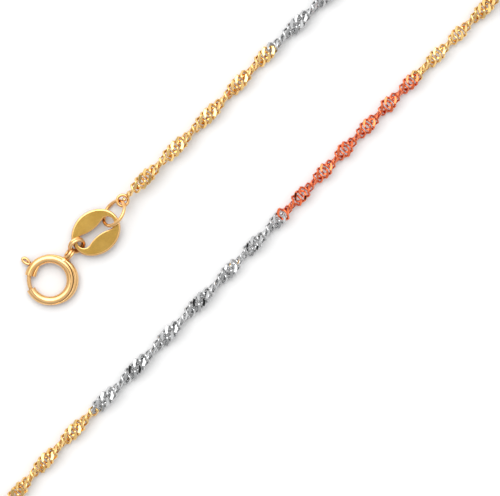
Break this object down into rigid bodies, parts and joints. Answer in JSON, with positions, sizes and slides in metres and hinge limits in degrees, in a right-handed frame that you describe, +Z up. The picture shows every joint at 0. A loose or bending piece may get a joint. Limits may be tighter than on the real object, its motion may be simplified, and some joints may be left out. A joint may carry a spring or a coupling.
{
  "type": "singapore chain necklace",
  "caption": "Fine twisted tricolour gold chain necklace laid open, with a spring ring clasp on an oval tab at one end and a plain ring at the other.",
  "frame": {"origin": "middle of the loop's bounding box, on the surface that the necklace lies on", "axes": "+Y along the long way of the loop, away from the clasp's end of the straight strands, +Z up from the surface"},
  "size_m": [0.0993, 0.1461, 0.0025],
  "materials": {
    "chain_gold": "polished gold, in stretches of yellow, white and rose",
    "yellow_gold": "polished yellow gold",
    "satin_gold": "satin yellow gold with a bright rim"
  },
  "bodies": {
    "necklace": {"chain": "chain_gold", "start_link": "yellow_gold", "jump_ring": "yellow_gold", "oval_tab": "satin_gold", "clasp_link": "yellow_gold", "spring_ring": "yellow_gold", "tail_link": "yellow_gold", "end_ring": "yellow_gold"},
    "tongue": {"tongue": "yellow_gold"}
  },
  "joints": [
    {"name": "tongue_turn", "type": "hinge", "parent": "necklace", "child": "tongue", "pos_m": [-0.04587, -0.01336, 0.00056], "axis": [0.0073, -0.0521, 0.9986], "range_deg": [-40, 0], "stiffness_Nm_per_rad": 0.003, "springref_deg": 5.73}
  ]
}
